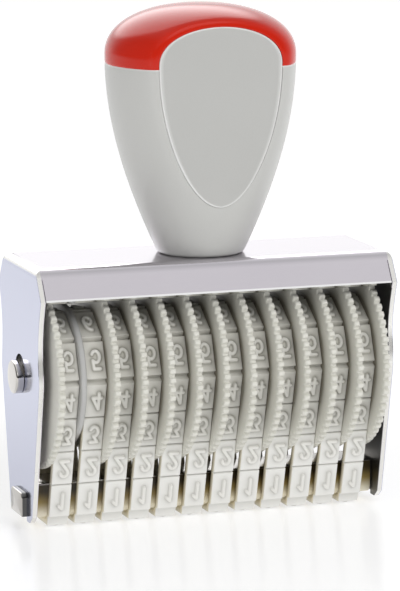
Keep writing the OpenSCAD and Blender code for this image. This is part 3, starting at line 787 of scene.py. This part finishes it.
# Front and rear panels
# Thin moulded shields let into the flat faces with a hair of room round them and their faces just under the
# border. Both are left bare, with a painted highlight along the rim.
panel_growth, panel_highlight_reach = 0.055, 0.42


def panel_points(side):
    """A shield: at each level the face runs from outline to outline, with a small round edge down to the back."""
    level = eased(panel_foot, panel_top, 80, True, True)
    half = (panel_half(level) + panel_growth * (panel_half(level) > 0))[:, None]
    inset = np.array([0.0, 0.0, 0.05, 0.15, 0.3])
    down = np.array([panel_thick, 0.22, 0.09, 0.02, 0.0])
    edge = np.clip(half - inset, 0.0, None)
    inner = edge[:, -1:] * np.linspace(-1.0, 1.0, 41)[1:-1]
    across = np.concatenate((-edge, inner, edge[:, ::-1]), axis=1)
    sunk = np.concatenate((down, np.zeros(inner.shape[1]), down[::-1]))
    depth = np.broadcast_to(side * (face_offset - panel_sink - sunk), across.shape)
    height = np.broadcast_to(level[:, None] + top_level, across.shape)
    slope = np.gradient(half[:, 0], level)[:, None]
    # Painted highlight: the rim mark lights the panel's edge in pale grey.
    rim = np.clip(1.0 - (half - np.abs(across)) / np.hypot(1.0, slope) / panel_highlight_reach, 0.0, 1.0)
    return np.stack((across + handle_shift, depth, height), axis=-1), {"rim": rim}


panel_satin = satin_plastic("panel_satin", (0.465, 0.465, 0.45), (0.405, 0.405, 0.39))
for name, node, side in (("front_shield", "front_panel", -1.0), ("rear_shield", "rear_panel", 1.0)):
    shield, shield_marks = panel_points(side)
    shield_quads = grid_quads(*shield.shape[:2])
    put(name, shield, shield_quads if side > 0 else shield_quads[:, ::-1], panel_satin, "stamp", "panel", node,
        marks=shield_marks)


# Handle screw
# A plated slotted screw from under the frame's top into the handle. It is hidden in use, so the solid stays as
# it is.
screw_plate = bright_metal("screw_plate", (0.62, 0.62, 0.64), (0.52, 0.52, 0.54), 0.25, (1.0, 1.0, 1.0))
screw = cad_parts["handle_screw"]
screw.data.materials.clear()
screw.data.materials.append(screw_plate)


# Studio
# A pale floor with a faint polish in a white surround, which is brightest behind and above the stamp. A soft
# lamp high in front models the figures, and a weak one low on the left reaches the face of the first wheel.
def studio_floor():
    """A square of white paper with light of its own, a little greyer close to the stamp, so that it reads as white
    and keeps the shadow. Its polish fades with the distance."""
    half = 2.0
    corners = [(-half, -half, 0), (half, -half, 0), (half, half, 0), (-half, half, 0)]
    mesh = bpy.data.meshes.new("floor")
    mesh.from_pydata(corners, [], [(0, 1, 2, 3)])
    paper, tone, place, shader = new_finish("floor_paper")
    fibre = grain(tone, place, 1.0, 2.0)
    tint = blend_colour(fibre, (0.72, 0.72, 0.72), (0.70, 0.70, 0.70))
    feed(shader, tone, tint, 0.4 + fibre * 0.1, fibre, 0.02, 0.01)
    x, y, _ = in_millimetres(tone, place)
    distance = tone.math("SQRT", x * x + y * y)
    glow = blend_colour(ramp(distance, 30.0, 170.0), (0.70, 0.70, 0.705), (1.0, 1.0, 1.0))
    tone.tree.links.new(glow.socket, shader.inputs["Emission Color"])
    shader.inputs["Emission Strength"].default_value = 0.66
    shader.inputs["Specular IOR Level"].default_value = 0.0
    polish = tone.node("ShaderNodeBsdfAnisotropic", {}, {"Color": (1.0, 1.0, 1.0, 1.0), "Roughness": 0.16})
    share = (0.09 + fibre * 0.02) * (1.0 - ramp(distance, 120.0, 400.0))
    matt = Tone(tone.tree, shader.outputs[0])
    both = tone.node("ShaderNodeMixShader", {}, {0: share, 1: matt, 2: polish})
    tone.tree.links.new(both.socket, tone.tree.nodes["Material Output"].inputs["Surface"])
    mesh.materials.append(paper)
    floor = bpy.data.objects.new("floor", mesh)
    bpy.context.scene.collection.objects.link(floor)


def white_surround():
    """The world: white to the camera. In reflections it grows brighter from the front to the back and overhead,
    with a dark left side, a dark low front and a patch for the front lamp. As light it is stronger at the sides,
    most on the right."""
    world = bpy.data.worlds.new("white_surround")
    world.use_nodes = True
    tone = Tone(world.node_tree)
    seen = tone.node("ShaderNodeLightPath", output="Is Camera Ray")
    glossy = Tone(tone.tree, seen.socket.node.outputs["Is Glossy Ray"])
    aside, back, up = parted(tone, tone.node("ShaderNodeTexCoord", output="Generated"))
    behind = tone.node("ShaderNodeMapRange", {}, {"Value": back + up, "From Min": -1.0, "From Max": 1.1,
                                                  "To Min": 0.42, "To Max": 1.20})
    dark_left = 1.0 - 0.75 * ramp(-aside, 0.3, 0.75)
    dark_front = 1.0 - 0.85 * ramp(-back, 0.45, 0.75) * (1.0 - ramp(up, 0.20, 0.34))
    overhead = ramp(back + up, 1.15, 1.27) * 2.3
    lamp_patch = ramp(aside * 0.16 - back * 0.89 + up * 0.43, 0.962, 0.985) * 1.4
    mirrored = behind * dark_left * dark_front + overhead + lamp_patch
    cast = 0.28 + aside * aside * 0.55 + ramp(aside, 0.2, 0.9) * 0.42
    plain = cast * (1.0 - seen) + seen
    ground = world.node_tree.nodes["Background"]
    ground.inputs["Color"].default_value = (1.0, 1.0, 1.0, 1.0)
    strength = plain * (1.0 - glossy) + mirrored * glossy
    tone.tree.links.new(strength.socket, ground.inputs["Strength"])
    bpy.context.scene.world = world


def facing(place, aim):
    """The turn that points a lamp or a camera from its place at an aim."""
    return (Vector(aim) - Vector(place)).to_track_quat("-Z", "Y").to_euler()


def soft_light(name, place, size, power):
    """A square lamp at a place in metres, turned to the stamp, that leaves no mirror image of itself."""
    lamp = bpy.data.lights.new(name, "AREA")
    lamp.shape = "SQUARE"
    lamp.size = size
    lamp.energy = power
    holder = bpy.data.objects.new(name, lamp)
    holder.location = place
    holder.rotation_euler = facing(place, (0.0, 0.0, 0.03))
    holder.visible_glossy = False
    bpy.context.scene.collection.objects.link(holder)


studio_floor()
white_surround()
soft_light("front", (0.12, -0.58, 0.52), 0.36, 1.9)
soft_light("left", (-0.58, -0.50, 0.13), 0.26, 0.8)

lens = bpy.data.cameras.new("camera")
lens.sensor_width = 36.0
lens.lens = 201.55
lens.shift_x, lens.shift_y = 0.0041, -0.0538
lens.clip_start = 0.01
camera = bpy.data.objects.new("camera", lens)
camera.location = (-0.18899, -0.54881, 0.14050)
camera.rotation_euler = facing(camera.location, (0.0, 0.0, 0.045))
bpy.context.scene.collection.objects.link(camera)
bpy.context.scene.camera = camera
bpy.context.scene.view_settings.view_transform = "Standard"
